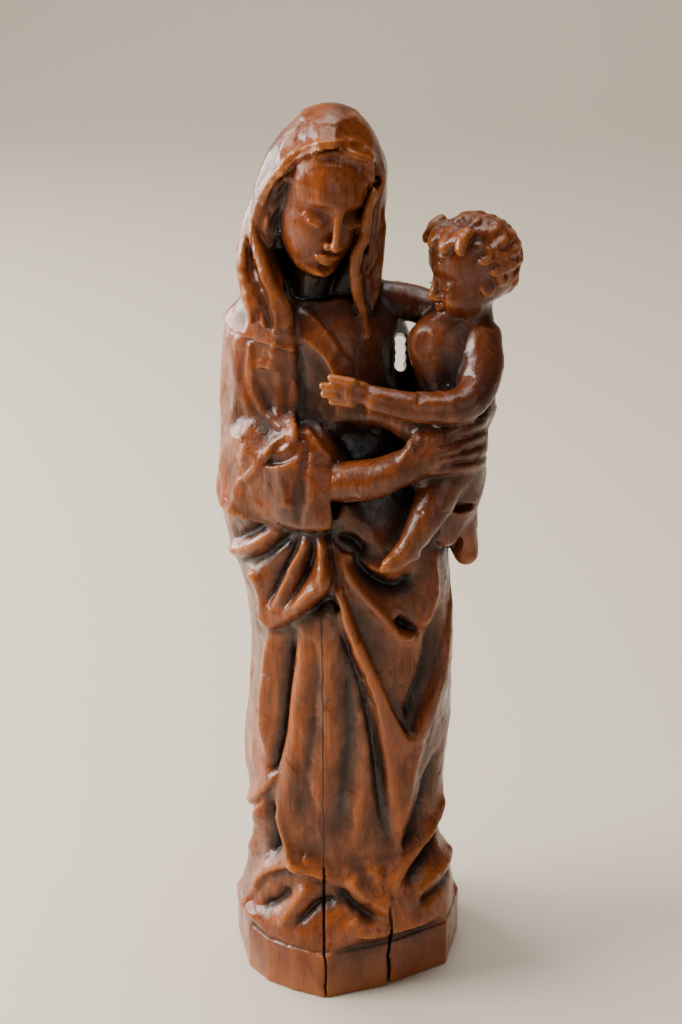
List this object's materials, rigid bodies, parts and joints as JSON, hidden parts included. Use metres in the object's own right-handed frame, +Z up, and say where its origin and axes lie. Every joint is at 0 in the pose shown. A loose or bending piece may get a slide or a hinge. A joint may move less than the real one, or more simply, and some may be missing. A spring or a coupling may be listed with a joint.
{
  "type": "virgin and child statue",
  "caption": "Varnished wooden carving of a standing hooded Madonna who holds the Christ child on her arm, on a low plinth cut from the same block; stands freely by its own weight.",
  "frame": {"origin": "centre of the plinth's flat underside", "axes": "+Z up the figure, +X to the viewer's right (the child's side), -Y out of the figure's front towards the viewer"},
  "size_m": [0.0948, 0.0743, 0.2998],
  "materials": {
    "carved_wood": "dark stained carved wood under a glossy varnish"
  },
  "bodies": {
    "root": {"virgin_and_child": "carved_wood"}
  },
  "joints": []
}
